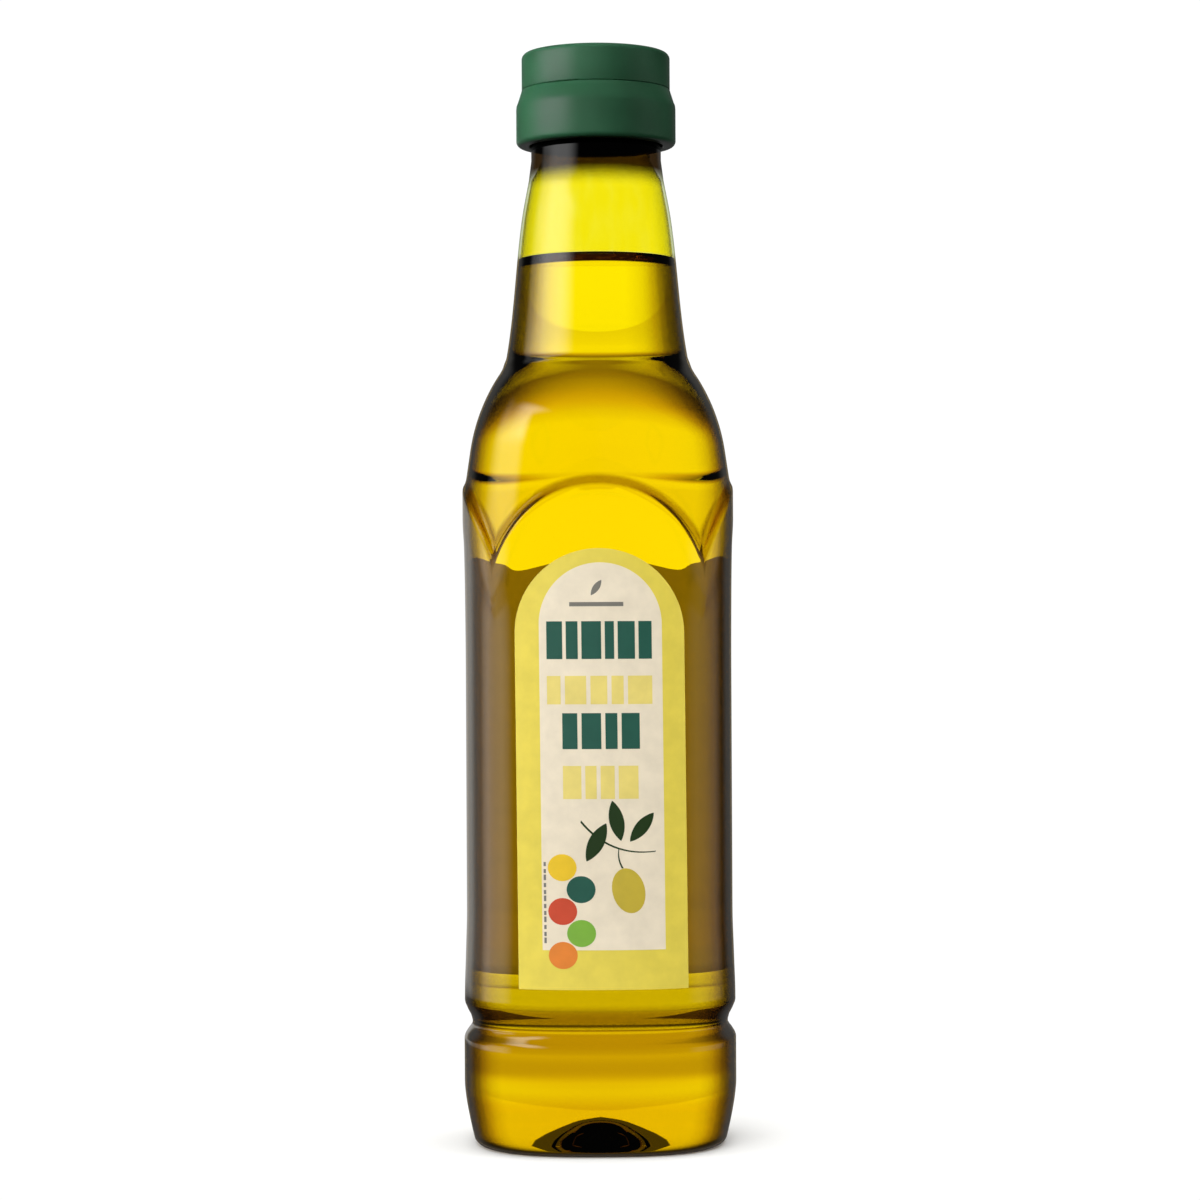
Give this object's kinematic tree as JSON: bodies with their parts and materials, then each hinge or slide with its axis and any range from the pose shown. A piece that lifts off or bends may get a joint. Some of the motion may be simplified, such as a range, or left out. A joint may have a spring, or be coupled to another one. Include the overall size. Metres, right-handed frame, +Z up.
{
  "type": "olive oil bottle",
  "caption": "Clear squarish plastic bottle filled with olive oil, with arched panels, a tapering neck, a green two-step cap and arch-topped labels.",
  "frame": {"origin": "centre of the flat standing ring, on the surface the bottle stands on", "axes": "+Z up along the bottle's axis, -Y towards the front label, +X to the right seen from the front"},
  "size_m": [0.0604, 0.0609, 0.2421],
  "materials": {
    "clear_pet": "clear, glossy blown PET",
    "olive_oil": "clear golden liquid",
    "cap_green": "satin injection-moulded dark green",
    "label_paper": "satin coated paper, cream field with a pale yellow border"
  },
  "bodies": {
    "root": {"bottle": "clear_pet", "oil": "olive_oil", "cap": "cap_green", "tamper_band": "cap_green", "front_label": "label_paper", "back_label": "label_paper"}
  },
  "joints": []
}
